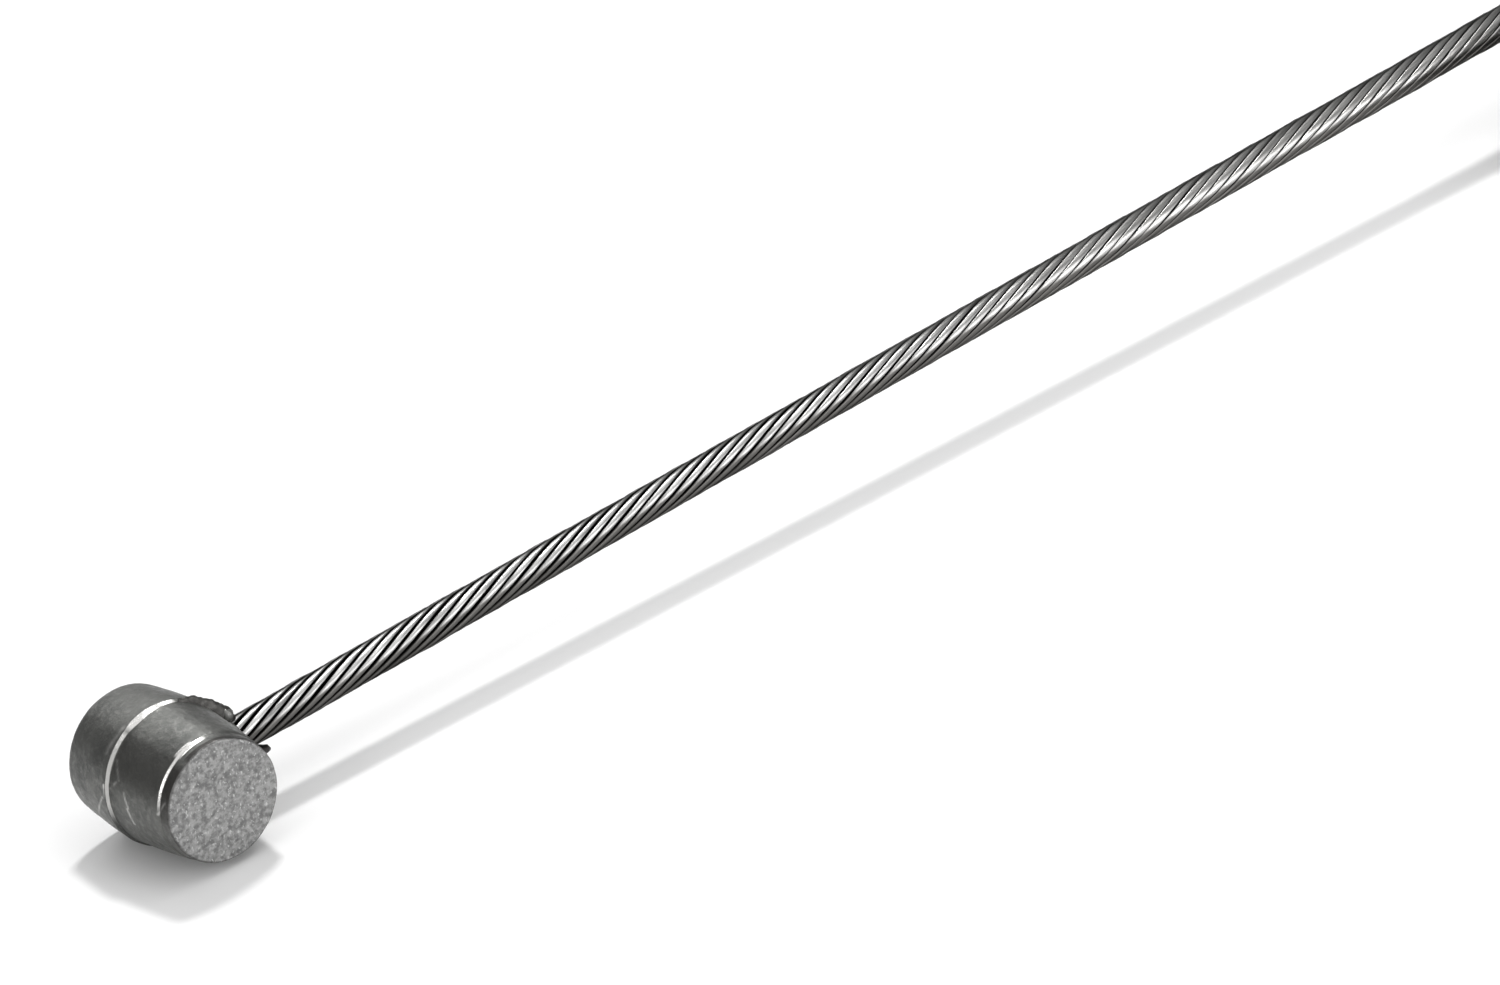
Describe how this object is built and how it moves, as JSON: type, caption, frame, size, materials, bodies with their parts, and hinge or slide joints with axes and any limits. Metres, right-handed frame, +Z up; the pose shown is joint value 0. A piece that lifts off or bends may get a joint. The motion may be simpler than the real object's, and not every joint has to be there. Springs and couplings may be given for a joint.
{
  "type": "bicycle brake inner cable",
  "caption": "Stranded steel bicycle brake inner cable with a cast barrel nipple on one end, the unused length folded in a tied hank.",
  "frame": {"origin": "on the floor under the middle of the nipple's box, burr included", "axes": "+X along the strand, away from the nipple; +Y along the nipple's round axis, towards its back face; +Z up"},
  "size_m": [0.1268, 0.0242, 0.0102],
  "materials": {
    "cast_zinc": "dull grey zinc casting, grainy on its end faces, bright along the mould line",
    "steel_wire": "drawn steel wire, slightly flattened and bright on its crowns",
    "fused_steel": "fused steel, smooth, heat tinted",
    "black_nylon": "black nylon, satin"
  },
  "bodies": {
    "root": {"nipple": "cast_zinc", "core_wire": "steel_wire", "inner_wire_1": "steel_wire", "inner_wire_2": "steel_wire", "inner_wire_3": "steel_wire", "inner_wire_4": "steel_wire", "inner_wire_5": "steel_wire", "inner_wire_6": "steel_wire", "outer_wire_1": "steel_wire", "outer_wire_2": "steel_wire", "outer_wire_3": "steel_wire", "outer_wire_4": "steel_wire", "outer_wire_5": "steel_wire", "outer_wire_6": "steel_wire", "outer_wire_7": "steel_wire", "outer_wire_8": "steel_wire", "outer_wire_9": "steel_wire", "outer_wire_10": "steel_wire", "outer_wire_11": "steel_wire", "outer_wire_12": "steel_wire", "hank": "steel_wire", "hank_tie_1": "black_nylon", "hank_tie_2": "black_nylon", "hank_tie_3": "black_nylon", "fused_tip": "fused_steel"}
  },
  "joints": []
}
